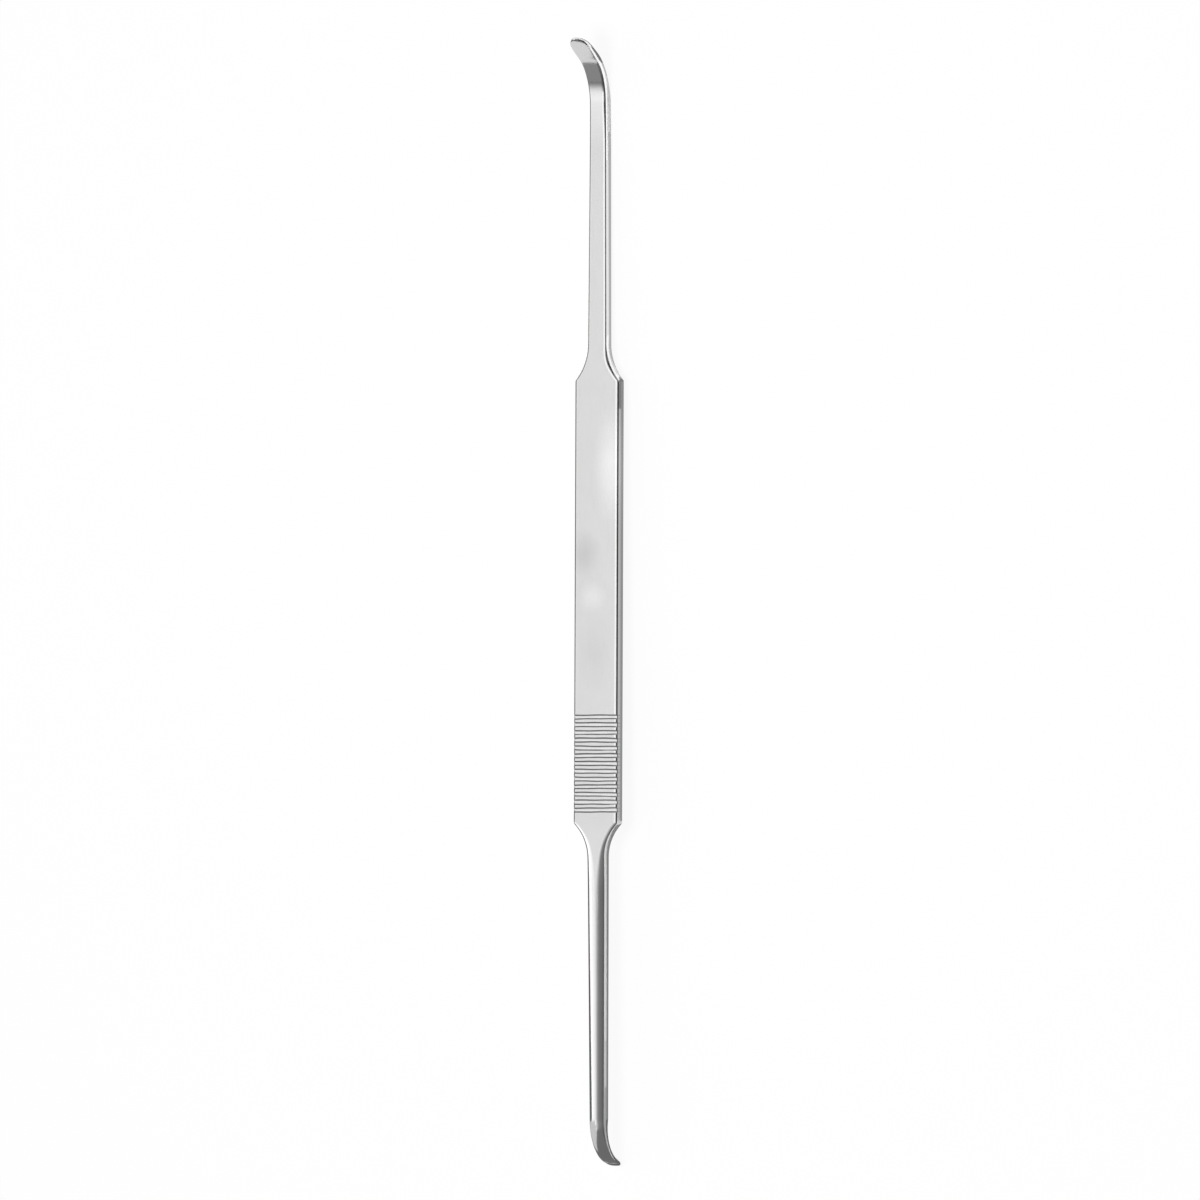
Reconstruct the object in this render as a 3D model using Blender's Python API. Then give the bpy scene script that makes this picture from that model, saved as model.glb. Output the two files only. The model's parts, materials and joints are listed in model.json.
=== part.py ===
# Septum elevator: one forged steel bar with a flat handle, a flat shank that ends in a blade
# bent forward, and a half-round shank that ends in a short blade bent backward.
#
# The bar is lofted along its front face. A station is a distance from the middle of the
# handle, and every station has a cross section of its own. +X is the width, +Y points to
# the forward blade, +Z is the side of the grooves, and the instrument lies at rest on z = 0.

import math

import bmesh
import bpy
from mathutils import Matrix, Vector

# Handle, millimetres
HANDLE_LENGTH = 78.4
HANDLE_WIDTH = 8.6
THICKNESS = 2.4
FRONT_EDGE_RADIUS = 0.32
BACK_EDGE_RADIUS = 0.28

# Cross grooves on the front of the handle
GROOVE_COUNT = 13
GROOVE_PITCH = 1.37
GROOVE_WIDTH = 0.86
GROOVE_DEPTH = 0.22
GROOVE_END_MARGIN = 2.4

# Flat shank and the blade bent forward
FORE_SHANK_LENGTH = 49.3
FORE_ROOT_WIDTH = 3.7
FORE_SHANK_WIDTH = 3.22
FORE_SHOULDER_RADIUS = 9.9
FORE_EASE_LENGTH = 8.0
FORE_EASE_ANGLE = 2.0
FORE_BEND_RADIUS = 9.5
FORE_BEND_ANGLE = 55.1
FORE_BLADE_LENGTH = 6.0
FORE_BLADE_WIDTH = 3.72
FORE_TIP_THICKNESS = 0.65
FORE_TIP_EDGE_RADIUS = 0.14
FORE_NOSE_LENGTH = 2.6
FORE_HEEL_RADIUS = 0.45

# Half-round shank and the short blade bent backward
BACK_SHANK_LENGTH = 52.4
BACK_ROOT_WIDTH = 3.43
BACK_SHANK_WIDTH = 2.92
BACK_SHOULDER_RADIUS = 8.3
BACK_LEAN_ANGLE = 0.9
BACK_BEND_RADIUS = 8.0
BACK_BEND_ANGLE = 76.0
BACK_BLADE_LENGTH = 2.6
BACK_BLADE_WIDTH = 2.45
BACK_TIP_THICKNESS = 0.5
BACK_TIP_EDGE_RADIUS = 0.2
BACK_NOSE_LENGTH = 1.3
BACK_HEEL_RADIUS = 0.35
CROWN_HEIGHT = 0.62
CROWN_RUN_OUT = 15.3

# Most of a section's thickness that each rounded edge may take up
FRONT_EDGE_SHARE = 0.45
BACK_EDGE_SHARE = 0.5

# Fineness of the surface
FRONT_EDGE_STEPS = 6
BACK_EDGE_STEPS = 3
SHOULDER_STEPS = 10
RUN_OUT_STEPS = 5
BEND_STEPS = 14
BLADE_STEPS = 4
NOSE_STEPS = 9
SHANK_STEPS = 6
EASE_STEPS = 5
GROOVE_STEPS = 6

MILLIMETRE = 0.001
MERGE_DISTANCE = 1e-7
SMOOTH_LIMIT = math.radians(30)
LEVELLING_ROUNDS = 12


def mix(start, end, share):
    return start + (end - start) * min(max(share, 0.0), 1.0)


class Arm:
    # One half of the bar, from the middle of the handle to the tip of its blade

    def __init__(
        self, side, shank, widths, shoulder, lean, ease, bend,
        blade, nose, tip, tip_edge, heel, crown, run_out
    ):
        self.side = side
        self.root, self.shank_width, self.blade_width = (width / 2 for width in widths)
        self.shoulder_radius = shoulder
        self.tip_thickness = tip
        self.tip_edge = tip_edge
        self.heel = heel
        self.nose = nose
        self.crown = crown
        self.run_out = run_out
        self.handle_end = HANDLE_LENGTH / 2
        self.bend_start = self.handle_end + shank
        ease_length, ease_angle = ease
        bend_radius, bend_angle = bend
        self.bend_end = self.bend_start + bend_radius * math.radians(bend_angle)
        self.tip = self.bend_end + blade
        drop = HANDLE_WIDTH / 2 - self.root
        self.shoulder_length = math.sqrt(shoulder ** 2 - (shoulder - drop) ** 2)
        self.shoulder_end = self.handle_end + self.shoulder_length
        self.ease_start = self.bend_start - ease_length
        # Straight runs and arcs of the front face: length and turn of each
        self.runs = [
            (self.handle_end, 0.0),
            (self.shoulder_length, math.radians(lean)),
            (self.ease_start - self.shoulder_end, 0.0),
            (ease_length, math.radians(ease_angle)),
            (self.bend_end - self.bend_start, math.radians(bend_angle)),
            (blade, 0.0),
        ]

    def place(self, station):
        # Where the front face is at this station, and how far it has turned there
        along = rise = angle = 0.0
        left = station
        for length, turn in self.runs:
            step = min(left, length)
            if turn:
                radius = length / turn
                turned = angle + step / radius
                along += radius * (math.sin(turned) - math.sin(angle))
                rise += radius * (math.cos(angle) - math.cos(turned))
                angle = turned
            else:
                along += step * math.cos(angle)
                rise += step * math.sin(angle)
            left -= step
        return self.side * along, self.side * rise, angle

    def half_width(self, station):
        if station <= self.handle_end:
            return HANDLE_WIDTH / 2
        shank_share = (station - self.shoulder_end) / (self.bend_start - self.shoulder_end)
        blade_share = (station - self.bend_start) / (self.tip - self.nose - self.bend_start)
        half = mix(self.root, self.shank_width, shank_share)
        if blade_share > 0:
            half = mix(self.shank_width, self.blade_width, blade_share)
        reach = max(self.shoulder_end - station, 0.0)
        return half + self.shoulder_radius - math.sqrt(self.shoulder_radius ** 2 - reach ** 2)

    def edge_stretch(self, station):
        # A rounded edge that runs at a slant is wider across the bar than along its normal
        if station < self.handle_end or station > self.shoulder_end:
            return 1.0
        slant = math.asin((self.shoulder_end - station) / self.shoulder_radius)
        return 1.0 / math.cos(slant)

    def blade_share(self, station):
        return (station - self.bend_start) / (self.tip - self.bend_start)

    def thickness(self, station):
        # Full to the start of the bend, then drawn down evenly to the tip
        return mix(THICKNESS, self.tip_thickness, self.blade_share(station))

    def front_edge(self, station):
        # Width and height of the rounding that joins the front face to the side, which
        # is sharper towards the tip of a blade
        half = self.half_width(station)
        radius = mix(FRONT_EDGE_RADIUS, self.tip_edge, self.blade_share(station))
        across = radius * self.edge_stretch(station)
        high = min(radius, FRONT_EDGE_SHARE * self.thickness(station))
        if self.crown:
            share = (station - self.handle_end) / self.run_out
            across = mix(across, half, share)
            crown = self.crown * self.thickness(station) / THICKNESS
            high = mix(high, crown, share)
        return min(across, half), high

    def back_edge(self, station):
        # The edges behind a blade are rounded more and more towards its tip
        radius = mix(BACK_EDGE_RADIUS, self.heel, self.blade_share(station))
        across = radius * self.edge_stretch(station)
        high = min(radius, BACK_EDGE_SHARE * self.thickness(station))
        return min(across, self.half_width(station)), high

    def stations(self):
        corner = HANDLE_WIDTH / 2 - self.root
        slant = math.acos(1.0 - corner / self.shoulder_radius)
        yield self.handle_end - FRONT_EDGE_RADIUS * math.tan(slant / 2)
        for step in range(SHOULDER_STEPS):
            turn = slant * (1.0 - step / SHOULDER_STEPS)
            yield self.shoulder_end - self.shoulder_radius * math.sin(turn)
        crown_full = max(self.handle_end + self.run_out, self.shoulder_end)
        for start, end, steps in (
            (self.shoulder_end, crown_full, RUN_OUT_STEPS),
            (crown_full, self.ease_start, SHANK_STEPS),
            (self.ease_start, self.bend_start, EASE_STEPS),
            (self.bend_start, self.bend_end, BEND_STEPS),
            (self.bend_end, self.tip - self.nose, BLADE_STEPS),
        ):
            if end > start:
                for step in range(steps):
                    yield mix(start, end, step / steps)
        for step in range(NOSE_STEPS, 0, -1):
            turn = math.pi / 2 * step / NOSE_STEPS
            yield self.tip - self.nose * (1.0 - math.cos(turn))

    def section(self, station):
        # Closed outline across the bar, as points with a place across and a depth behind
        # the front face, from the middle of the front round to the right and the left
        half = self.half_width(station)
        thick = self.thickness(station)
        to_tip = self.tip - station
        right = []
        for (across, high), steps, front in (
            (self.front_edge(station), FRONT_EDGE_STEPS, True),
            (self.back_edge(station), BACK_EDGE_STEPS, False),
        ):
            limit = math.pi / 2
            if to_tip < self.nose:
                cut = to_tip / self.nose * half / across
                limit = math.acos(max(1.0 - cut, 0.0))
            arc = []
            for step in range(steps + 1):
                turn = limit * (steps - step) / steps
                inset = across * (1.0 - math.cos(turn))
                depth = high * (1.0 - math.sin(turn))
                arc.append((self.narrowed(half, inset, to_tip), depth if front else thick - depth))
            right += arc if front else arc[::-1]
        return right + [(-across, depth) for across, depth in reversed(right)]

    def narrowed(self, half, inset, to_tip):
        # The nose is half an ellipse in plan, and each inset line is a smaller one like it
        if to_tip >= self.nose:
            return half - inset
        share = 1.0 - inset / half
        if share <= 0.0:
            return 0.0
        lead = self.nose * inset / half
        ratio = 1.0 - (to_tip - lead) / (self.nose * share)
        return (half - inset) * math.sqrt(max(1.0 - ratio ** 2, 0.0))

    def ring(self, station):
        along, rise, angle = self.place(station)
        normal = Vector((0.0, -math.sin(angle), math.cos(angle)))
        middle = Vector((0.0, along, rise))
        for across, depth in self.section(station):
            yield (middle + Vector((across, 0.0, 0.0)) - normal * depth) * MILLIMETRE


def elevator_arms():
    fore = Arm(
        side=1,
        shank=FORE_SHANK_LENGTH,
        widths=(FORE_ROOT_WIDTH, FORE_SHANK_WIDTH, FORE_BLADE_WIDTH),
        shoulder=FORE_SHOULDER_RADIUS,
        lean=0.0,
        ease=(FORE_EASE_LENGTH, FORE_EASE_ANGLE),
        bend=(FORE_BEND_RADIUS, FORE_BEND_ANGLE),
        blade=FORE_BLADE_LENGTH,
        nose=FORE_NOSE_LENGTH,
        tip=FORE_TIP_THICKNESS,
        tip_edge=FORE_TIP_EDGE_RADIUS,
        heel=FORE_HEEL_RADIUS,
        crown=0.0,
        run_out=0.0,
    )
    back = Arm(
        side=-1,
        shank=BACK_SHANK_LENGTH,
        widths=(BACK_ROOT_WIDTH, BACK_SHANK_WIDTH, BACK_BLADE_WIDTH),
        shoulder=BACK_SHOULDER_RADIUS,
        lean=BACK_LEAN_ANGLE,
        ease=(0.0, 0.0),
        bend=(BACK_BEND_RADIUS, BACK_BEND_ANGLE),
        blade=BACK_BLADE_LENGTH,
        nose=BACK_NOSE_LENGTH,
        tip=BACK_TIP_THICKNESS,
        tip_edge=BACK_TIP_EDGE_RADIUS,
        heel=BACK_HEEL_RADIUS,
        crown=CROWN_HEIGHT,
        run_out=CROWN_RUN_OUT,
    )
    return fore, back


def bar_mesh():
    fore, back = elevator_arms()
    rings = [list(back.ring(station)) for station in reversed(list(back.stations()))]
    rings += [list(fore.ring(station)) for station in fore.stations()]
    shape = bmesh.new()
    loops = [[shape.verts.new(point) for point in ring] for ring in rings]
    count = len(loops[0])
    for lower, upper in zip(loops, loops[1:]):
        for index in range(count):
            follow = (index + 1) % count
            shape.faces.new((lower[index], lower[follow], upper[follow], upper[index]))
    shape.faces.new(loops[0])
    shape.faces.new(loops[-1])
    bmesh.ops.remove_doubles(shape, verts=shape.verts, dist=MERGE_DISTANCE)
    bmesh.ops.recalc_face_normals(shape, faces=shape.faces)
    mesh = bpy.data.meshes.new("septum_elevator")
    shape.to_mesh(mesh)
    shape.free()
    return mesh


def groove_cutters():
    # One round-bottomed trough for each groove, as bars that run past both sides
    half = GROOVE_WIDTH / 2
    radius = (half ** 2 + GROOVE_DEPTH ** 2) / (2 * GROOVE_DEPTH)
    spread = math.asin(min(half / radius, 1.0))
    shape = bmesh.new()
    for groove in range(GROOVE_COUNT):
        middle = -HANDLE_LENGTH / 2 + GROOVE_END_MARGIN + groove * GROOVE_PITCH
        outline = [(middle - half, THICKNESS), (middle + half, THICKNESS)]
        for step in range(GROOVE_STEPS + 1):
            turn = spread * (1.0 - 2.0 * step / GROOVE_STEPS)
            depth = radius * math.cos(turn) - radius + GROOVE_DEPTH
            outline.append((middle + radius * math.sin(turn), -depth))
        start = [shape.verts.new(Vector((-HANDLE_WIDTH, y, z)) * MILLIMETRE) for y, z in outline]
        face = shape.faces.new(start)
        push = bmesh.ops.extrude_face_region(shape, geom=[face])
        moved = [item for item in push["geom"] if isinstance(item, bmesh.types.BMVert)]
        reach = Vector((2 * HANDLE_WIDTH * MILLIMETRE, 0.0, 0.0))
        bmesh.ops.translate(shape, verts=moved, vec=reach)
    bmesh.ops.recalc_face_normals(shape, faces=shape.faces)
    mesh = bpy.data.meshes.new("groove_cutters")
    shape.to_mesh(mesh)
    shape.free()
    return mesh


def resting_place(mesh):
    # The bar lies on the tip of one blade and on the heel of the other, so it is tilted
    # until the lowest points of both halves are level, then set down on z = 0
    points = [vertex.co.copy() for vertex in mesh.vertices]
    tilt = 0.0
    for _ in range(LEVELLING_ROUNDS):
        turned = [Matrix.Rotation(tilt, 3, "X") @ point for point in points]
        low_fore = min((point for point in turned if point.y > 0), key=lambda point: point.z)
        low_back = min((point for point in turned if point.y < 0), key=lambda point: point.z)
        tilt -= math.atan2(low_fore.z - low_back.z, low_fore.y - low_back.y)
    turned = [Matrix.Rotation(tilt, 3, "X") @ point for point in points]
    floor = min(point.z for point in turned)
    middle = (min(point.y for point in turned) + max(point.y for point in turned)) / 2
    return tilt, Vector((0.0, -middle, -floor))


def steel():
    material = bpy.data.materials.new("satin_steel")
    material.use_nodes = True
    surface = material.node_tree.nodes["Principled BSDF"]
    surface.inputs["Base Color"].default_value = (0.72, 0.72, 0.72, 1.0)
    surface.inputs["Metallic"].default_value = 1.0
    surface.inputs["Roughness"].default_value = 0.24
    material.diffuse_color = (0.72, 0.72, 0.72, 1.0)
    return material


def build():
    for thing in list(bpy.data.objects):
        bpy.data.objects.remove(thing, do_unlink=True)

    mesh = bar_mesh()
    elevator = bpy.data.objects.new("septum_elevator", mesh)
    bpy.context.collection.objects.link(elevator)
    mesh.materials.append(steel())
    mesh.shade_smooth()
    mesh.set_sharp_from_angle(angle=SMOOTH_LIMIT)
    tilt, place = resting_place(mesh)
    elevator.rotation_euler = (tilt, 0.0, 0.0)
    elevator.location = place

    cutters = bpy.data.objects.new("groove_cutters", groove_cutters())
    bpy.context.collection.objects.link(cutters)
    cutters.parent = elevator
    cutters.hide_render = True
    cutters.display_type = "WIRE"
    cut = elevator.modifiers.new("grooves", "BOOLEAN")
    cut.operation = "DIFFERENCE"
    cut.solver = "EXACT"
    cut.object = cutters


build()
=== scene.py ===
# Septum elevator: a polished steel bar with a flat grooved handle, a flat shank with a blade
# bent forward and a half-round shank with a small blade bent back, lying on a pale floor.
# All sizes and places are in millimetres and turned into metres where Blender gets them.

import json
import math
import random

import bpy
from mathutils import Matrix, Vector


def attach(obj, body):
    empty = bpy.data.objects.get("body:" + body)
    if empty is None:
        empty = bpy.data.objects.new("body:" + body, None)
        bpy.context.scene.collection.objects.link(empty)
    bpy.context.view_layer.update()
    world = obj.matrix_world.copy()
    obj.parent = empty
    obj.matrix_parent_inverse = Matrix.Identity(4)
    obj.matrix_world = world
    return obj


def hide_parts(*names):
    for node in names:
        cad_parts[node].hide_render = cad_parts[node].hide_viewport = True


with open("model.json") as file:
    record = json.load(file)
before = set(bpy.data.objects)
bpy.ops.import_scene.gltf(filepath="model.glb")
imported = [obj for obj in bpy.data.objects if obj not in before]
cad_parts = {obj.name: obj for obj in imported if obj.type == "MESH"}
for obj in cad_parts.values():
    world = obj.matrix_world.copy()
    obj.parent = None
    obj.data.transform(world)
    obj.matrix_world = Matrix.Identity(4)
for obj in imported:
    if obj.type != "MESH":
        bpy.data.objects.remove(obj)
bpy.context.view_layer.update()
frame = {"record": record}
print("frame loaded")

millimetre = 0.001


# Small helpers for shapes

def mix(start, end, share):
    return start + (end - start) * min(max(share, 0.0), 1.0)


def smooth(low, high, value):
    share = min(max((value - low) / (high - low), 0.0), 1.0)
    return share * share * (3.0 - 2.0 * share)


def softMin(first, second, softness):
    return (first + second - math.hypot(first - second, softness)) / 2


def softMax(first, second, softness):
    return (first + second + math.hypot(first - second, softness)) / 2


def newObject(name, data):
    made = bpy.data.objects.new(name, data)
    bpy.context.scene.collection.objects.link(made)
    return made


# The bar. Stations run from the middle of the handle out to each tip. Pairs of values are
# for the right side and the left side.

handle = {
    "length": 78.4,
    "width": 8.6,
    "thickness": 2.4,
    "cornerSoftness": 0.10,  # rounding of the corners between handle and shoulders
    "hollowOverrun": 1.2,  # how far past its corner a shoulder's hollow is followed for that
    "edges": (0.27, 0.38),  # radius of the front edge
    "backEdgeRadius": 0.28,
    "sideBulges": (0.03, 0.01),  # the sides are a little barrelled, more so on the right
}

grooves = {
    "count": 13,
    "pitch": 1.37,
    "width": 0.86,
    "depth": 0.22,
    "endMargin": 2.4,
    "lip": 0.03,  # how far the worn lips reach out on each side
    "lipSoftness": 0.03,
    "lipFade": (0.9, 1.5),  # where the lips run out, in half widths from the middle
    "reach": 2.0,  # where a groove has surely ended, in half widths too
    "dish": 0.26,  # share of the depth that the hollow of the floor has
    "wallPower": 4,  # higher makes the walls steeper
    "uneven": 0.10,  # share by which single grooves differ
    "slant": 0.05,  # how far the ends of single grooves are out of square
    "bow": 0.05,  # and how far their middles are
    "waver": 0.025,  # how much their width changes across the handle
    "waverPace": 1.3,
    "seed": 11,
    "leastCut": 0.01,  # places cut less than this get no painted wall shade
    # places across half a groove and half a land, closer together on the walls
    "places": (0.0, 0.06, 0.12, 0.18, 0.23, 0.27, 0.305, 0.335, 0.36, 0.385, 0.41, 0.435,
               0.46, 0.49, 0.53, 0.58, 0.63),
}

# The polishing wheel takes the front down a little beside its edges
roll = {
    "widths": (0.42, 0.30),
    "angles": (8.0, 1.5),
}

# The rounded front edges of handle and arms
rounding = {
    "bendSpan": 8.0,  # how far on each side of a bend's start its wider rounding reaches
    "mostOfThickness": 0.45,  # share of the thickness that an edge may take up
    "leastPastRoll": 0.3,  # share of its own height that the roll always leaves an edge
    "fits": 4,  # rounds of fitting its arc
}

foreArm = {
    "direction": 1,  # towards the head
    "shank": 49.3,
    "widths": (3.7, 3.22, 3.72),  # at the shoulder, at the bend, at the blade
    "shoulderRadius": 9.9,
    "lean": 0.0,
    "easeLength": 8.0,  # the shank already turns a little over this length before the bend
    "easeAngle": 2.0,
    "bendRadius": 9.5,
    "bendAngle": 55.1,
    "blade": 6.0,
    "nose": 3.5,
    "noseFullness": 2.4,  # 2 is half an ellipse in plan, more is fuller
    "tipThickness": 0.8,
    "heelRadius": 0.45,  # width of the rounding behind the tip
    "heelShare": 0.7,  # share of the thickness that it takes up
    "crown": 0.0,
    "edges": (0.19, 0.34),
    "shoulderEdges": (0.20, 0.0),  # how much wider the rounding is halfway down the shoulder
    "bendEdges": (0.16, 0.0),  # and where the bend starts
    "tipEdges": (0.20, 0.16),
    "sideBulges": (0.05, 0.01),
}

backArm = {
    "direction": -1,  # towards the foot
    "shank": 52.4,
    "widths": (3.43, 2.92, 2.45),
    "shoulderRadius": 8.3,
    "lean": 0.9,  # degrees that the shank leans back along the shoulder
    "easeLength": 0.0,
    "easeAngle": 0.0,
    "bendRadius": 8.0,
    "bendAngle": 76.0,
    "blade": 2.6,
    "nose": 1.3,
    "noseFullness": 2.0,
    "tipThickness": 0.5,
    "heelRadius": 0.35,
    "heelShare": 0.5,
    "crown": 0.62,  # height of the half-round front
    "runOuts": ((1.5, 12.3), (-1.0, 11.0)),  # where it starts and is full, past the handle
    "edges": (0.27, 0.38),
    "shoulderEdges": (0.0, 0.0),
    "bendEdges": (0.0, 0.0),
    "tipEdges": (0.20, 0.20),
    "sideBulges": (0.05, 0.01),
}

fineness = {
    "outline": 49,  # points of half a section, front middle to back middle
    "trace": 24,  # sample points of each stretch before they are spaced out
    # how the points are shared out between the stretches
    "shares": {"flat": 7.0, "roll": 7.0, "edge": 12.0, "side": 7.0, "backEdge": 8.0},
    "handleStations": 26,
    "cornerStations": 16,
    "shoulderStations": 30,
    "shankStations": 40,
    "bendStations": 40,
    "bladeStations": 10,
    "noseStations": 18,
    "cornerReach": 0.9,  # how far the corner's stations reach on each side of it
    "bendLead": 2.0,  # how far before a bend its stations start
    "slopeStep": 0.02,  # over which slopes are taken
}


class Arm:
    # One half of the bar

    def __init__(self, sizes):
        self.sizes = sizes
        self.rootHalf, self.bendHalf, self.bladeHalf = (width / 2 for width in sizes["widths"])
        self.handleEnd = handle["length"] / 2
        self.bendStart = self.handleEnd + sizes["shank"]
        bendTurn = math.radians(sizes["bendAngle"])
        self.bendEnd = self.bendStart + sizes["bendRadius"] * bendTurn
        self.tip = self.bendEnd + sizes["blade"]
        radius = sizes["shoulderRadius"]
        drop = handle["width"] / 2 - self.rootHalf
        self.shoulderLength = math.sqrt(radius ** 2 - (radius - drop) ** 2)
        self.shoulderEnd = self.handleEnd + self.shoulderLength
        easeStart = self.bendStart - sizes["easeLength"]
        # The front face in stretches: how long each is and how far it turns
        self.runs = [
            (self.handleEnd, 0.0),
            (self.shoulderLength, math.radians(sizes["lean"])),
            (easeStart - self.shoulderEnd, 0.0),
            (sizes["easeLength"], math.radians(sizes["easeAngle"])),
            (self.bendEnd - self.bendStart, bendTurn),
            (sizes["blade"], 0.0),
        ]

    def place(self, station):
        # Where the front face is at a station, and how far it has turned there
        along = rise = angle = 0.0
        left = station
        for length, turn in self.runs:
            step = min(left, length)
            if turn:
                radius = length / turn
                turned = angle + step / radius
                along += radius * (math.sin(turned) - math.sin(angle))
                rise += radius * (math.cos(angle) - math.cos(turned))
                angle = turned
            else:
                along += step * math.cos(angle)
                rise += step * math.sin(angle)
            left -= step
        direction = self.sizes["direction"]
        return direction * along, direction * rise, angle

    def halfWidth(self, station):
        toBend = (station - self.shoulderEnd) / (self.bendStart - self.shoulderEnd)
        toNose = (station - self.bendStart) / (self.tip - self.sizes["nose"] - self.bendStart)
        half = mix(self.rootHalf, self.bendHalf, toBend)
        if toNose > 0:
            half = mix(self.bendHalf, self.bladeHalf, toNose)
        radius = self.sizes["shoulderRadius"]
        most = self.shoulderLength + handle["hollowOverrun"]
        reach = min(max(self.shoulderEnd - station, 0.0), most)
        half += radius - math.sqrt(radius ** 2 - reach ** 2)
        if station < self.shoulderEnd:
            half = softMin(half, handle["width"] / 2, handle["cornerSoftness"])
        return half

    def edgeStretch(self, station):
        # A rounding that runs at a slant is wider across the bar than along its normal
        step = fineness["slopeStep"]
        slope = (self.halfWidth(station + step) - self.halfWidth(station - step)) / (2 * step)
        return math.hypot(1.0, slope)

    def toShank(self, station):
        return smooth(self.handleEnd, self.shoulderEnd, station)

    def toTip(self, station):
        return min(max((station - self.bendStart) / (self.tip - self.bendStart), 0.0), 1.0)

    def thickness(self, station):
        return mix(handle["thickness"], self.sizes["tipThickness"], self.toTip(station))

    def crownShare(self, station, side):
        # How much of the half-round front there is: none on the handle, 1 on the shank
        if not self.sizes["crown"]:
            return 0.0
        start, full = self.sizes["runOuts"][side]
        return smooth(self.handleEnd + start, self.handleEnd + full, station)

    def sideBulge(self, station, side):
        ends = handle["sideBulges"][side], self.sizes["sideBulges"][side]
        return mix(*ends, self.toShank(station)) * self.thickness(station) / handle["thickness"]

    def edgeRadius(self, station, side):
        toShank = self.toShank(station)
        radius = mix(handle["edges"][side], self.sizes["edges"][side], toShank)
        radius += self.sizes["shoulderEdges"][side] * 4 * toShank * (1.0 - toShank)
        fromBend = abs(station - self.bendStart)
        radius += self.sizes["bendEdges"][side] * smooth(rounding["bendSpan"], 0.0, fromBend)
        return mix(radius, self.sizes["tipEdges"][side], self.toTip(station))

    def trace(self, station, side):
        # Half a section in stretches, from the front middle over one side to the back middle:
        # points as (across, depth behind the front face), and the share of the mesh's points
        thick = self.thickness(station)
        stretch = self.edgeStretch(station)
        crown = self.crownShare(station, side)
        bulge = self.sideBulge(station, side)
        inner = self.halfWidth(station) - bulge
        toTip = self.toTip(station)

        backRadius = mix(handle["backEdgeRadius"], self.sizes["heelRadius"], toTip)
        backHigh = mix(handle["backEdgeRadius"], self.sizes["heelShare"] * thick, toTip)
        backWide = min(backRadius * stretch, inner)
        rollTurn = math.radians(roll["angles"][side]) * (1.0 - crown)
        rollWide = roll["widths"][side] * stretch * (1.0 - crown)
        rollHigh = rollWide * math.tan(rollTurn) / 2
        radius = self.edgeRadius(station, side)
        frontHigh = mix(radius, self.sizes["crown"] * thick / handle["thickness"], crown)
        frontHigh = min(frontHigh, rounding["mostOfThickness"] * thick)
        edgeHigh = max(frontHigh - rollHigh, rounding["leastPastRoll"] * frontHigh)
        edgeWide = min(mix(radius * stretch, inner, crown), inner - rollWide)
        sideTurn = math.atan2(thick - frontHigh - backHigh, 4 * bulge)
        flatWide = max(inner - rollWide - edgeWide, 0.0)

        parts = [step / fineness["trace"] for step in range(fineness["trace"])]
        flatFront = [(flatWide * part, 0.0) for part in parts]
        rollOff = [(flatWide + rollWide * part, rollHigh * part ** 2) for part in parts]
        edge = [(flatWide + rollWide + across, rollHigh + depth)
                for across, depth in fittedArc(edgeWide, edgeHigh, rollTurn, sideTurn, parts)]
        flank = [(inner + bulge * (1.0 - (2.0 * part - 1.0) ** 2),
                  mix(rollHigh + edgeHigh, thick - backHigh, part)) for part in parts]
        backEdge = [(inner - backWide * (1.0 - math.cos(math.pi / 2 * part)),
                     thick - backHigh * (1.0 - math.sin(math.pi / 2 * part))) for part in parts]
        backFlat = [((inner - backWide) * (1.0 - part), thick) for part in (*parts, 1.0)]
        shares = fineness["shares"]
        return [
            (flatFront, shares["flat"] * flatWide / inner),
            (rollOff, shares["roll"] * (1.0 - crown)),
            (edge, shares["edge"] + (shares["flat"] + shares["roll"]) * crown),
            (flank, shares["side"]),
            (backEdge, shares["backEdge"]),
            (backFlat, shares["flat"] * (inner - backWide) / inner),
        ]

    def halfSection(self, station, side):
        # Along the nose the outline is a rounded end in plan, and every line of the rounded
        # edge follows a smaller one inside it
        half = self.halfWidth(station)
        left = self.tip - station
        points, weights = [], [0.0]
        for stretch, share in self.trace(station, side):
            for point in stretch:
                points.append(point)
                weights.append(weights[-1] + share / len(stretch))
        weights = weights[:len(points)]
        if left < self.sizes["nose"]:
            points, weights = cutInside(points, weights, half * (1.0 - left / self.sizes["nose"]))
            points = [(self.narrowed(half, across, left), depth) for across, depth in points]
        found = spacedOut(points, weights, fineness["outline"])
        found[0] = (0.0, found[0][1])
        found[-1] = (0.0, found[-1][1])
        return found

    def section(self, station):
        right, left = (self.halfSection(station, side) for side in (0, 1))
        return right + [(-across, depth) for across, depth in reversed(left[1:-1])]

    def narrowed(self, half, across, left):
        # Where a line of the full section lies when this much of the nose is left
        share = across / half
        nose = self.sizes["nose"]
        ratio = 1.0 - (left - nose * (1.0 - share)) / (nose * share)
        fullness = self.sizes["noseFullness"]
        return across * max(1.0 - max(ratio, 0.0) ** fullness, 0.0) ** (1.0 / fullness)

    def stations(self):
        corner, lead = fineness["cornerReach"], fineness["bendLead"]
        spans = [
            (self.handleEnd - corner, self.handleEnd + corner, fineness["cornerStations"]),
            (self.handleEnd + corner, self.shoulderEnd, fineness["shoulderStations"]),
            (self.shoulderEnd, self.bendStart - lead, fineness["shankStations"]),
            (self.bendStart - lead, self.bendEnd, fineness["bendStations"]),
            (self.bendEnd, self.tip - self.sizes["nose"], fineness["bladeStations"]),
        ]
        points = []
        for start, end, count in spans:
            points += [mix(start, end, step / count) for step in range(count)]
        count = fineness["noseStations"]
        for step in range(count, 0, -1):
            turn = math.pi / 2 * step / count
            points.append(self.tip - self.sizes["nose"] * (1.0 - math.cos(turn)))
        return points


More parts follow.
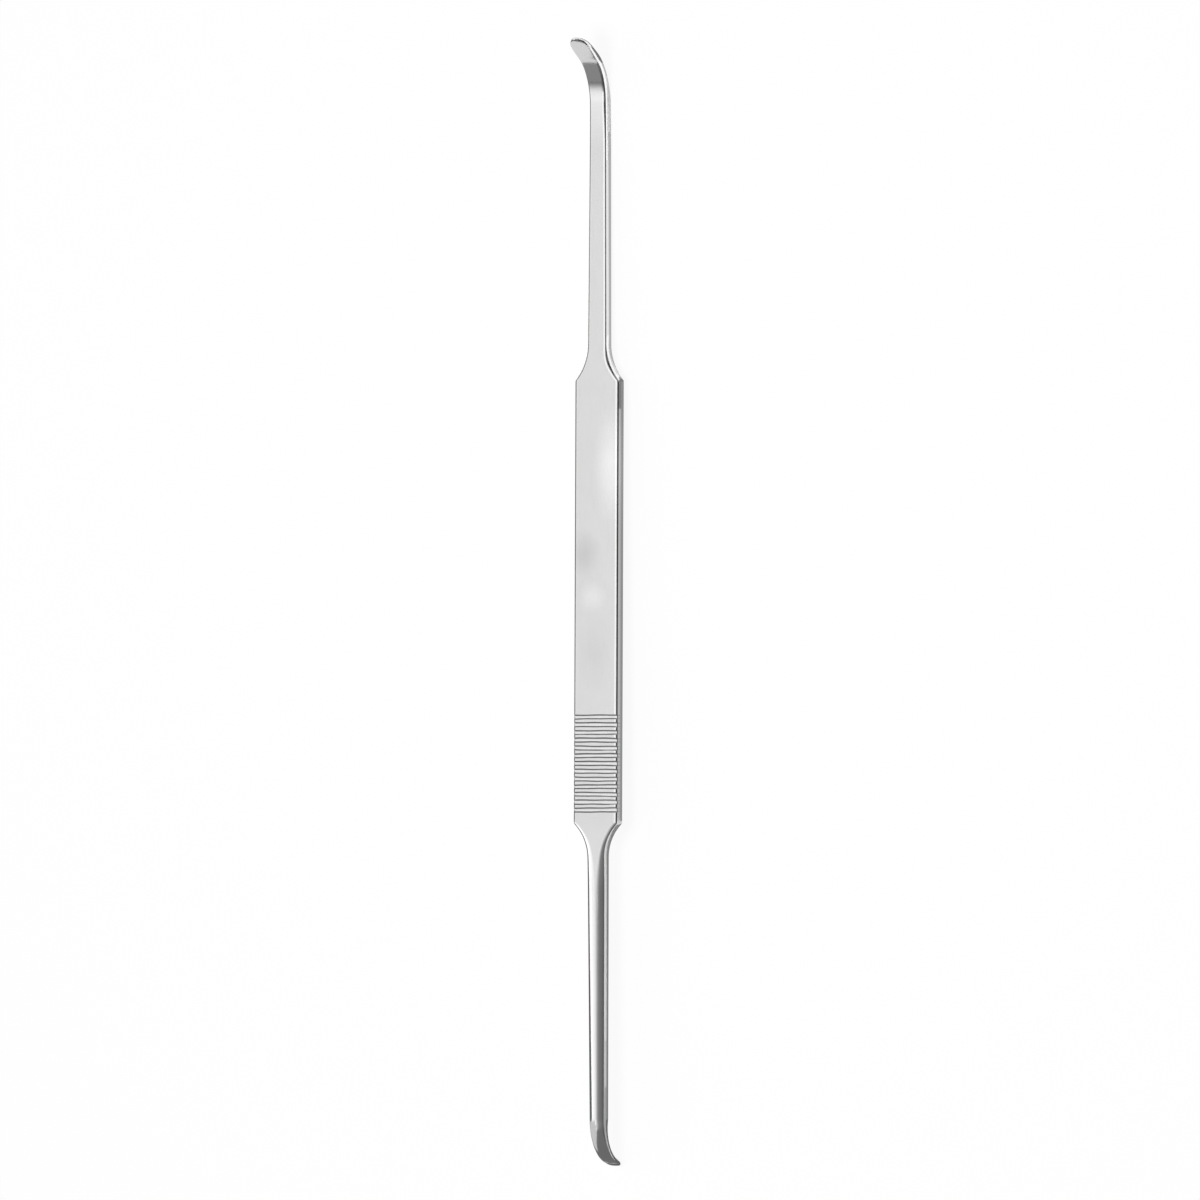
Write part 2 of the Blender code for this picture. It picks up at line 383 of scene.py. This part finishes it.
def fittedArc(wide, high, startTurn, endTurn, parts):
    # Points on a piece of an ellipse that is this wide and high and that starts and ends at
    # the two slopes
    axisWide = axisHigh = wide
    for _ in range(rounding["fits"]):
        first = math.atan2(axisHigh, axisWide * math.tan(startTurn))
        last = math.atan2(axisHigh, axisWide * math.tan(endTurn))
        axisWide = wide / (math.cos(last) - math.cos(first))
        axisHigh = high / (math.sin(first) - math.sin(last))
    points = []
    for part in parts:
        turn = mix(first, last, part)
        points.append((axisWide * (math.cos(turn) - math.cos(first)),
                       axisHigh * (math.sin(first) - math.sin(turn))))
    return points


def cutInside(points, weights, least):
    # Only the stretch of the outline that is further than least from the middle
    keptPoints, keptWeights = [], []
    for index in range(len(points) - 1):
        (x0, d0), (x1, d1) = points[index], points[index + 1]
        if x0 >= least:
            keptPoints.append(points[index])
            keptWeights.append(weights[index])
        if (x0 - least) * (x1 - least) < 0:
            part = (least - x0) / (x1 - x0)
            keptPoints.append((least, mix(d0, d1, part)))
            keptWeights.append(mix(weights[index], weights[index + 1], part))
    return keptPoints, keptWeights


def spacedOut(points, weights, count):
    # The same outline with a set number of points, spaced by weight
    found = []
    index = 0
    for step in range(count):
        target = mix(weights[0], weights[-1], step / (count - 1))
        while index < len(weights) - 2 and weights[index + 1] < target:
            index += 1
        span = weights[index + 1] - weights[index]
        part = (target - weights[index]) / span if span > 0 else 0.0
        (x0, d0), (x1, d1) = points[index], points[index + 1]
        found.append((mix(x0, x1, part), mix(d0, d1, part)))
    return found


def grooveList():
    # Each groove as it was milled; no two come out quite alike
    draw = random.Random(grooves["seed"])
    found = []
    for index in range(grooves["count"]):
        middle = -handle["length"] / 2 + grooves["endMargin"] + index * grooves["pitch"]
        half = grooves["width"] / 2 * (1.0 + grooves["uneven"] * draw.uniform(-1, 1))
        depth = grooves["depth"] * (1.0 + grooves["uneven"] * draw.uniform(-1, 1))
        slant = grooves["slant"] * draw.uniform(-1, 1)
        bow = grooves["bow"] * draw.uniform(-1, 1)
        found.append((middle, half, depth, slant, bow, draw.uniform(0, 2 * math.pi)))
    return found


def grooveDepth(along, across, cuts):
    # A hollow floor between steep walls with worn lips
    side = 2 * across / handle["width"]
    dish, lip = grooves["dish"], grooves["lipSoftness"]
    for middle, half, depth, slant, bow, phase in cuts:
        centre = middle + slant * side + bow * (1.0 - side ** 2)
        waver = grooves["waver"] * math.sin(grooves["waverPace"] * across + phase)
        share = abs(along - centre) / (half + grooves["lip"] + waver)
        if share < grooves["reach"]:
            level = depth * (1.0 - dish * share ** 2 - (1.0 - dish) * share ** grooves["wallPower"])
            fade = lip / 2 * smooth(*grooves["lipFade"], share)
            return max(softMax(level, 0.0, lip) - fade, 0.0)
    return 0.0


def handleStations(cuts):
    # Places along the handle, in order from the back arm's end to the fore arm's
    end = handle["length"] / 2 - fineness["cornerReach"]
    count = fineness["handleStations"]
    points = []
    for middle, *_ in cuts:
        points += [middle - place for place in reversed(grooves["places"][1:])]
        points += [middle + place for place in grooves["places"]]
    last = points[-1]
    points += [mix(last, end, step / count) for step in range(1, count)]
    return [point for point in points if -end < point < end]


def barRings(cuts):
    # The sections of the mesh in order: which arm each is on, and its station
    fore, back = Arm(foreArm), Arm(backArm)
    rings = [(back, station) for station in reversed(back.stations())]
    rings += [(back, -along) if along < 0 else (fore, along) for along in handleStations(cuts)]
    return rings + [(fore, station) for station in fore.stations()]


def barPoints(rings, cuts):
    # The points, how deep in a groove each lies (0 to 1) and how steep the groove is there
    step = fineness["slopeStep"]
    points, sunkShares, slopes = [], [], []
    for arm, station in rings:
        along, rise, angle = arm.place(station)
        normal = Vector((0.0, -math.sin(angle), math.cos(angle)))
        middle = Vector((0.0, along, rise))
        for across, depth in arm.section(station):
            cut = grooveDepth(along, across, cuts)
            before = grooveDepth(along - step, across, cuts)
            after = grooveDepth(along + step, across, cuts)
            slope = abs(after - before) / (2 * step)
            onFront = depth < handle["thickness"] / 2
            sunk = math.hypot(depth, cut) if onFront else depth
            points.append((middle + Vector((across, 0.0, 0.0)) - normal * sunk) * millimetre)
            sunkShares.append(min(max(sunk - depth, 0.0) / grooves["depth"], 1.0))
            slopes.append(min(slope, 1.0) if sunk > depth + grooves["leastCut"] else 0.0)
    return points, sunkShares, slopes


def barMesh():
    cuts = grooveList()
    rings = barRings(cuts)
    points, sunkShares, slopes = barPoints(rings, cuts)
    size = len(points) // len(rings)
    faces = []
    for ring in range(len(rings) - 1):
        for index in range(size):
            follow = (index + 1) % size
            low, high = ring * size, (ring + 1) * size
            faces.append((low + index, low + follow, high + follow, high + index))
    faces.append(tuple(reversed(range(size))))
    faces.append(tuple(range((len(rings) - 1) * size, len(rings) * size)))
    mesh = bpy.data.meshes.new("septum_elevator_bar")
    mesh.from_pydata(points, [], faces)
    for name, values in (("sunkShare", sunkShares), ("steepness", slopes)):
        mesh.attributes.new(name, "FLOAT", "POINT").data.foreach_set("value", values)
    mesh.validate()
    mesh.update()
    mesh.shade_smooth()
    return mesh


def restingPlace():
    # The bar's own frame, from the two faces of the handle that the record names
    mounts = {mount["name"]: mount for mount in frame["record"]["mounts"]}
    normal = Vector(mounts["handle_front"]["axis"]).normalized()
    behind = Vector(mounts["handle_back"]["pos_m"])
    place = behind + normal * handle["thickness"] * millimetre
    tilt = math.atan2(-normal.y, normal.z)
    return Matrix.Translation(place) @ Matrix.Rotation(tilt, 4, "X")


restMatrix = restingPlace()
bar = newObject("elevator_bar", barMesh())
bar.data.transform(restMatrix)
print("bar built:", len(bar.data.vertices), "points")


# Node helpers

class Wire:
    # One output of a node, which sums and products turn into Math nodes

    def __init__(self, socket):
        self.socket = socket
        self.tree = socket.id_data

    def maths(self, operation, *others):
        node = self.tree.nodes.new("ShaderNodeMath")
        node.operation = operation
        for socket, value in zip(node.inputs, (self, *others)):
            plug(socket, value)
        return Wire(node.outputs[0])

    def __add__(self, other):
        return self.maths("ADD", other)

    __radd__ = __add__

    def __mul__(self, other):
        return self.maths("MULTIPLY", other)

    __rmul__ = __mul__

    def __sub__(self, other):
        return self.maths("SUBTRACT", other)

    def __rsub__(self, other):
        return (self * -1.0) + other


def plug(socket, value):
    if isinstance(value, Wire):
        socket.id_data.links.new(value.socket, socket)
    else:
        socket.default_value = value


class NodeTable:
    # A node tree with one way to add any node to it

    def __init__(self, owner):
        owner.use_nodes = True
        self.tree = owner.node_tree
        self.tree.nodes.clear()

    def node(self, kind, settings=None, sockets=None, out=0):
        made = self.tree.nodes.new(kind)
        for name, value in (settings or {}).items():
            if name == "stops":
                ramp = made.color_ramp
                while len(ramp.elements) < len(value):
                    ramp.elements.new(0.5)
                for element, (place, level) in zip(ramp.elements, value):
                    element.position = place
                    element.color = (level, level, level, 1.0)
            else:
                setattr(made, name, value)
        for name, value in (sockets or {}).items():
            plug(made.inputs[name], value)
        return Wire(made.outputs[out]) if len(made.outputs) else None

    def noise(self, place, scale, detail):
        sockets = {"Vector": place, "Scale": scale, "Detail": detail}
        return self.node("ShaderNodeTexNoise", sockets=sockets)

    def vector(self, operation, first, second):
        return self.node("ShaderNodeVectorMath", {"operation": operation}, {0: first, 1: second})

    def grey(self, level):
        sockets = {"Red": level, "Green": level, "Blue": level}
        return self.node("ShaderNodeCombineColor", sockets=sockets)


# Satin-polished stainless steel, with painted shade on the steep walls of the grooves. Noises are given
# as scale and detail.

steelFinishAndShade = {
    "grey": 0.722,
    "mottling": 0.020,  # cloudy patches a few millimetres wide
    "cloudNoise": (0.28, 2.0),
    "streaks": 0.016,  # fine lines that the belt left along the bar
    "streakNoise": (1.0, 3.0),
    "streakStretch": (9.0, 0.22, 9.0),
    "grain": 0.012,
    "grainNoise": (5.5, 2.0),
    "roughness": 0.15,
    "roughnessSpread": 0.05,
    "grooveDull": 0.10,  # extra roughness down in the grooves
    "paintedWallShade": 0.45,  # painted shade: how much darker the steep walls of the grooves are made
    "bump": 0.10,
    "bumpDistance": 0.01,
    "grainBump": 0.5,  # of the height that the streaks have
    # brighter and duller places on the front of the handle: x, y, half sizes, gain
    "places": (
        (3.0, 24.0, 4.2, 12.0, 0.16),
        (-2.2, 8.5, 4.0, 5.5, -0.10),
        (-0.6, 0.8, 3.4, 3.4, 0.09),
        (0.0, -9.0, 4.5, 8.0, -0.045),
    ),
}


def steel():
    material = bpy.data.materials.new("satin_steel_fine")
    table = NodeTable(material)
    place = table.node("ShaderNodeTexCoord", out="Object")
    inMillimetres = table.node(
        "ShaderNodeVectorMath", {"operation": "SCALE"}, {0: place, "Scale": 1 / millimetre}
    )
    stretched = table.vector("MULTIPLY", inMillimetres, steelFinishAndShade["streakStretch"])
    cloud = table.noise(inMillimetres, *steelFinishAndShade["cloudNoise"])
    streak = table.noise(stretched, *steelFinishAndShade["streakNoise"])
    grain = table.noise(inMillimetres, *steelFinishAndShade["grainNoise"])
    sunk = table.node("ShaderNodeAttribute", {"attribute_name": "sunkShare"}, out="Fac")
    steep = table.node("ShaderNodeAttribute", {"attribute_name": "steepness"}, out="Fac")

    level = (
        steelFinishAndShade["grey"]
        + (cloud - 0.5) * (2 * steelFinishAndShade["mottling"])
        + (streak - 0.5) * (2 * steelFinishAndShade["streaks"])
        + (grain - 0.5) * (2 * steelFinishAndShade["grain"])
    )
    for x, y, halfX, halfY, gain in steelFinishAndShade["places"]:
        offset = table.vector("SUBTRACT", inMillimetres, (x, y, 0.0))
        scaled = table.vector("MULTIPLY", offset, (1 / halfX, 1 / halfY, 0.0))
        distance = table.node(
            "ShaderNodeVectorMath", {"operation": "LENGTH"}, {0: scaled}, out="Value"
        )
        near = table.node(
            "ShaderNodeMapRange",
            {"interpolation_type": "SMOOTHSTEP"},
            {"Value": distance, "From Min": 1.0, "From Max": 0.0},
        )
        level = level + near * gain
    # painted shade: the steep walls of the grooves are made darker in the base colour
    level = level * (1.0 - steep * steelFinishAndShade["paintedWallShade"])
    roughness = (
        steelFinishAndShade["roughness"]
        + (streak - 0.5) * steelFinishAndShade["roughnessSpread"]
        + sunk * steelFinishAndShade["grooveDull"]
    )
    relief = table.node("ShaderNodeBump", sockets={
        "Strength": steelFinishAndShade["bump"],
        "Distance": steelFinishAndShade["bumpDistance"] * millimetre,
        "Height": streak + grain * steelFinishAndShade["grainBump"],
    })
    surface = table.node("ShaderNodeBsdfPrincipled", sockets={
        "Base Color": table.grey(level),
        "Metallic": 1.0,
        "Roughness": roughness,
        "Normal": relief,
    })
    table.node("ShaderNodeOutputMaterial", sockets={"Surface": surface})
    return material


bar.data.materials.append(steel())
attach(bar, "root")
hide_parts("septum_elevator")
print("steel ready")


# Studio: a bright soft side on the left, a dark one on the right and at the foot

studio = {
    # brightness by angle, from straight up (0) to the left (-90) or right (90) horizon
    "sweep": ((-90, 0.20), (-77, 0.22), (-66, 1.33), (-50, 1.33), (-42, 1.14), (-31, 1.02),
              (-25, 0.86), (-21, 0.70), (-17, 0.47), (-13, 0.34), (-6, 0.24), (3, 0.20), (15, 0.18),
              (45, 0.13), (90, 0.10)),
    # share of that brightness by how far a direction leans to the foot (-1) or head (1)
    "footToHead": ((-1.0, 0.12), (-0.81, 0.13), (-0.65, 0.22), (-0.55, 0.58), (-0.50, 0.87),
                   (-0.38, 1.21), (-0.22, 1.35), (-0.08, 1.38), (-0.05, 1.25), (-0.024, 1.10),
                   (0.0, 1.0), (0.06, 1.05), (0.12, 1.35), (0.40, 1.35), (0.55, 0.50), (0.65, 0.14),
                   (1.0, 0.08)),
    "tilt": 0.035,  # that curve is set for the handle, which lies with its head a little up
    "least": 0.08,
    "rampScale": 1.5,  # a ramp holds values up to 1, so both curves are stored scaled down
}


def studioLight():
    world = bpy.data.worlds.new("studio")
    bpy.context.scene.world = world
    table = NodeTable(world)
    direction = table.node("ShaderNodeTexCoord", out="Generated")
    x, y, z = (table.node("ShaderNodeSeparateXYZ", sockets={"Vector": direction}, out=axis)
               for axis in "XYZ")
    scale = studio["rampScale"]
    angle = x.maths("ARCTAN2", z)
    across = table.node(
        "ShaderNodeValToRGB",
        {"stops": [((degrees + 90) / 180, level / scale) for degrees, level in studio["sweep"]]},
        {"Fac": angle * (1 / math.pi) + 0.5},
    )
    along = table.node(
        "ShaderNodeValToRGB",
        {"stops": [((lean + 1) / 2, level / scale) for lean, level in studio["footToHead"]]},
        {"Fac": (y - studio["tilt"]) * 0.5 + 0.5},
    )
    strength = (across * along * (scale * scale)).maths("MAXIMUM", studio["least"])
    cameraRay = table.node("ShaderNodeLightPath", out="Is Camera Ray")
    shown = strength * (1.0 - cameraRay) + cameraRay
    light = table.node(
        "ShaderNodeBackground", sockets={"Color": (1.0, 1.0, 1.0, 1.0), "Strength": shown}
    )
    table.node("ShaderNodeOutputWorld", sockets={"Surface": light})


floorFinish = {
    "halfSize": 3000,
    "grey": 0.86,
    "mottling": 0.02,
    "cloudNoise": (9.0, 2.0),  # its scale is per metre
    "whiteForCamera": 0.92,  # the rest is left for the bar's shadow
}


def sheet(name, corners, material):
    # One flat face: the floor and each card are one
    mesh = bpy.data.meshes.new(name)
    mesh.from_pydata([Vector(corner) * millimetre for corner in corners], [], [(0, 1, 2, 3)])
    mesh.materials.append(material)
    made = newObject(name, mesh)
    return made


def paleFloor():
    material = bpy.data.materials.new("pale_floor")
    table = NodeTable(material)
    place = table.node("ShaderNodeTexCoord", out="Object")
    cloud = table.noise(place, *floorFinish["cloudNoise"])
    grey = floorFinish["grey"] + (cloud - 0.5) * floorFinish["mottling"]
    matt = table.node("ShaderNodeBsdfDiffuse", sockets={"Color": table.grey(grey)})
    white = table.node("ShaderNodeEmission", sockets={"Strength": 1.0})
    cameraRay = table.node("ShaderNodeLightPath", out="Is Camera Ray")
    both = table.node(
        "ShaderNodeMixShader", sockets={0: cameraRay * floorFinish["whiteForCamera"], 1: matt, 2: white}
    )
    table.node("ShaderNodeOutputMaterial", sockets={"Surface": both})
    half = floorFinish["halfSize"]
    sheet("floor", [(-half, -half, 0), (half, -half, 0), (half, half, 0), (-half, half, 0)], material)


lamps = {
    "top": {"place": (20, 30, 600), "size": 220, "watts": 2.7},
}


def softLamp(name, place, size, watts):
    data = bpy.data.lights.new(name, "AREA")
    data.shape = "DISK"
    data.size = size * millimetre
    data.energy = watts
    lamp = newObject(name, data)
    lamp.location = Vector(place) * millimetre
    lamp.rotation_euler = (-Vector(place)).to_track_quat("-Z", "Y").to_euler()
    lamp.visible_glossy = False


# Cards that only the steel sees, lying flat: left, right and y of the foot end, the same of
# the head end, the height and the brightness
cards = {
    "strip": ((-115, -42, -41), (-115, -42, 155), 300, 1.35),
    "foot": ((-200, 200, -300), (-200, 200, -100.8), 0.3, 0.19),
    "footLeft": ((-35, -2, -100.6), (-35, -2, -41), 0.3, 0.17),
    "farFootLeft": ((-200, -35, -100.6), (-200, -35, -41), 0.3, 0.33),
    "farLeft": ((-300, -18, -40), (-300, -18, 56), 0.3, 0.32),
    "handleLeft": ((-18, -4.6, -40), (-18, -4.6, 39.3), 0.3, 0.20),
    "foreLeft": ((-6.5, -2, 39.4), (-6.5, -2, 99.4), 0.3, 0.20),
    "handleRight": ((5.8, 50, -39), (5.8, 50, 34), 0.3, 0.62),
    "handleTop": ((5, 50, 34), (4, 50, 40.8), 0.3, 0.26),
    "shoulderRight": ((4, 20, 40.8), (3, 20, 47), 0.3, 1.30),
    "bladeRight": ((2.6, 15, 78), (2.6, 15, 106), 0.3, 1.35),
    "bladeLeft": ((-35, -6.6, 56.5), (-35, -6.6, 110), 0.3, 0.88),
    # The cards whose names start with under are painted shadow: dim sheets just above the floor beneath
    # the bar, which the steel reflects in place of the bar's own shadow on the floor
    "underHandle": ((-4.5, 7, -39), (-4.5, 5.7, 39), 0.5, 0.36),
    "underFore": ((-2, 3.1, 39.2), (-2, 2.2, 83), 0.5, 0.56),
    "foreRight": ((2, 15, 47), (2, 15, 78), 0.3, 1.10),
    "underBend": ((-4, 1.8, 83), (-4, 2.2, 93), 0.5, 0.72),
    "underBlade": ((-8, 2.4, 93), (-8, 3.2, 95.5), 0.5, 0.60),
    "underNose": ((-8, 4.4, 95.5), (-8, 5.4, 107), 0.5, 0.20),
    "underBack": ((-1.8, 4.8, -92), (-1.8, 4.7, -39.2), 0.5, 0.28),
    "underTip": ((-1.8, 3, -100.6), (-1.8, 5.2, -92), 0.5, 0.15),
    "tipRight": ((4.8, 40, -100.6), (4.8, 40, -86.2), 0.3, 0.48),
    "backRight": ((4.8, 40, -86.2), (4.8, 40, -78), 0.3, 0.72),
}

# Cards that stand on the floor: x, y and height of both ends, and the brightness. Those beside
# the handle keep its edges dark, the others are what the shank and the ends of the blades show.
walls = {
    "leftWall": ((-100, -44, 130), (-100, 114, 130), 0.20),
    "rightWall": ((60, -39, 500), (60, 56, 500), 0.04),
    "rightOfBend": ((60, 78, 500), (60, 135, 500), 0.03),
    "headWall": ((-68, 160, 160), (90, 160, 160), 1.25),
    "footWall": ((-55, -160, 160), (80, -160, 160), 0.19),
    "farFootWall": ((-220, -161, 250), (-98, -161, 250), 0.31),
    "leftOfTip": ((-30, -93.5, 60), (-30, -135, 60), 0.74),
    "leftOfShank": ((-26, -93, 25.5), (-26, -40, 14), 0.14),
}


def card(name, corners, level):
    material = bpy.data.materials.new(name)
    table = NodeTable(material)
    glow = table.node("ShaderNodeEmission", sockets={"Strength": level})
    table.node("ShaderNodeOutputMaterial", sockets={"Surface": glow})
    made = sheet(name, corners, material)
    made.visible_camera = False
    made.visible_diffuse = False
    made.visible_shadow = False


def lyingCorners(foot, head, height):
    (left, right, y), (headLeft, headRight, headY) = foot, head
    return [(left, y, height), (right, y, height),
            (headRight, headY, height), (headLeft, headY, height)]


def standingCorners(start, end):
    return [(*start[:2], 0), (*end[:2], 0), end, start]


studioLight()
paleFloor()
for lampName, lamp in lamps.items():
    softLamp(f"{lampName}_lamp", lamp["place"], lamp["size"], lamp["watts"])
for cardName, (foot, head, height, level) in cards.items():
    card(f"{cardName}_card", lyingCorners(foot, head, height), level)
for wallName, (start, end, level) in walls.items():
    card(f"{wallName}_card", standingCorners(start, end), level)
print("studio ready")


# Camera: square on to the handle's length, 25 degrees round to its right side

view = {
    "turn": 25.0,
    "roll": 0.22,
    "frameWidth": 212.3,
    "shiftRight": 0.22,  # where the middle of the picture is from the middle of the handle
    "shiftUp": 0.35,
    "distance": 600,
    "clip": (10, 10000),
}


def photoCamera():
    turn, roll = math.radians(view["turn"]), math.radians(view["roll"])
    normal = restMatrix.to_3x3() @ Vector((0, 0, 1))
    length = restMatrix.to_3x3() @ Vector((0, 1, 0))
    back = normal * math.cos(turn) + Vector((1, 0, 0)) * math.sin(turn)
    flat = Vector((1, 0, 0)) * math.cos(turn) - normal * math.sin(turn)
    up = length * math.cos(roll) - flat * math.sin(roll)
    right = flat * math.cos(roll) + length * math.sin(roll)
    middle = restMatrix @ Vector((0, 0, -handle["thickness"] / 2 * millimetre))
    aim = middle + (right * view["shiftRight"] + up * view["shiftUp"]) * millimetre
    data = bpy.data.cameras.new("camera")
    data.type = "ORTHO"
    data.ortho_scale = view["frameWidth"] * millimetre
    data.clip_start, data.clip_end = (distance * millimetre for distance in view["clip"])
    camera = newObject("camera", data)
    place = aim + back * view["distance"] * millimetre
    rotation = Matrix((right, up, back)).transposed()
    camera.matrix_world = Matrix.Translation(place) @ rotation.to_4x4()
    bpy.context.scene.camera = camera


photoCamera()
bpy.context.scene.view_settings.view_transform = "Standard"
print("camera ready")
